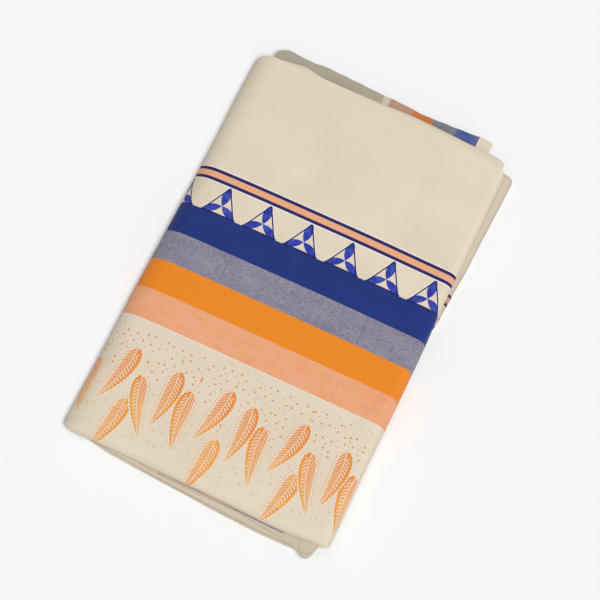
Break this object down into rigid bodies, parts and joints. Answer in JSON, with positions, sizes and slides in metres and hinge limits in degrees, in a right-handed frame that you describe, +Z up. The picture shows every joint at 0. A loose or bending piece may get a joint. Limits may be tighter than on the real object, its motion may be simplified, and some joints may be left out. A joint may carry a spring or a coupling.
{
  "type": "folded cotton sari",
  "caption": "Long banded and block-printed cotton cloth folded into a flat, rounded rectangular pack, with loose fold edges at its back, front and right side.",
  "frame": {"origin": "under the middle of the pack's bounding box, on the surface it lies on", "axes": "+Z up through the layers, +Y along the pack towards its plain end, +X across it"},
  "size_m": [0.3026, 0.485, 0.0303],
  "materials": {
    "printed_cotton": "matte plain weave with woven bands and a print",
    "plain_cotton": "matte plain weave",
    "border_cotton": "matte plain weave with woven bands"
  },
  "bodies": {
    "root": {"pallu_face": "printed_cotton", "second_fold": "plain_cotton", "folded_core": "plain_cotton", "border_flap": "border_cotton", "front_fold": "plain_cotton", "under_stretch": "plain_cotton"}
  },
  "joints": []
}
